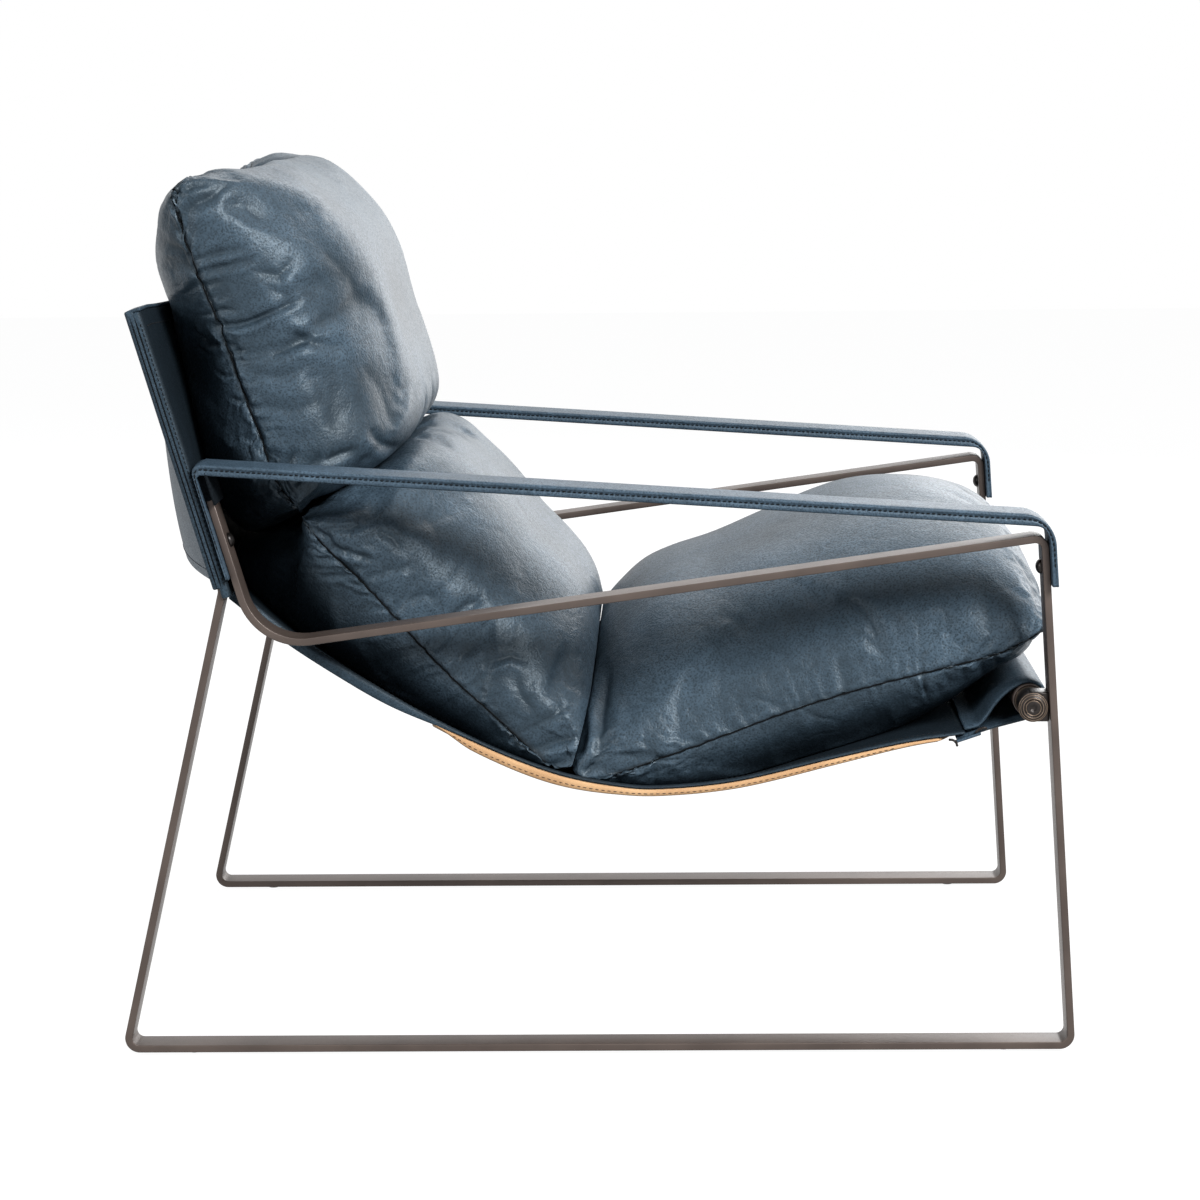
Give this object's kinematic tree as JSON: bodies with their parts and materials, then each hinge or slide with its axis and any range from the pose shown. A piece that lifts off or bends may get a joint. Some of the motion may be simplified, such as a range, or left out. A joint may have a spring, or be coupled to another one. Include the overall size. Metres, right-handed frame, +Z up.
{
  "type": "sling lounge chair",
  "caption": "Leather sling lounge chair: bent flat-bar side frames, a front tube, padded strap arms and a three-chamber cushion pad lying in a leather hammock",
  "frame": {"origin": "on the floor, under the middle of the chair's box", "axes": "+Z up; -Y is the chair's front, the way the sitter looks; +X is the sitter's left"},
  "size_m": [0.678, 0.8369, 0.7829],
  "materials": {
    "frame_paint": "dark bronze powder coat, satin, fine grain",
    "dark_fitting": "near-black burnished metal, semi-gloss",
    "glide_plastic": "matte black plastic",
    "sling_leather": "blue-grey saddle leather, smooth, satin, double stitched",
    "pad_leather": "blue-grey soft leather, creased, satin",
    "tan_suede": "tan suede, raw, matte"
  },
  "bodies": {
    "frame": {"side_frame_left": "frame_paint", "side_frame_right": "frame_paint", "front_tube": "frame_paint", "back_top_crossbar": "frame_paint", "back_lower_crossbar": "frame_paint", "tube_plug_left": "dark_fitting", "tube_plug_right": "dark_fitting", "tube_bracket_left": "frame_paint", "tube_bracket_right": "frame_paint", "tube_cap_left": "dark_fitting", "tube_cap_right": "dark_fitting", "tube_bolt_left": "dark_fitting", "tube_bolt_right": "dark_fitting", "arm_strap_left": "sling_leather", "arm_strap_right": "sling_leather", "strap_screw_left": "dark_fitting", "strap_screw_right": "dark_fitting", "strap_insert_left": "dark_fitting", "strap_insert_right": "dark_fitting", "arm_bolt_left": "dark_fitting", "arm_bolt_right": "dark_fitting", "front_glide_left": "glide_plastic", "front_glide_right": "glide_plastic", "rear_glide_left": "glide_plastic", "rear_glide_right": "glide_plastic", "sling": "sling_leather", "seat_lining": "tan_suede", "back_panel": "sling_leather"},
    "pad": {"seat_cushion": "pad_leather", "lumbar_cushion": "pad_leather", "back_cushion": "pad_leather"}
  },
  "joints": [
    {"name": "cushion_lift", "type": "slide", "parent": "frame", "child": "pad", "axis": [0, 0, 1], "range_m": [0, 0.5]}
  ]
}
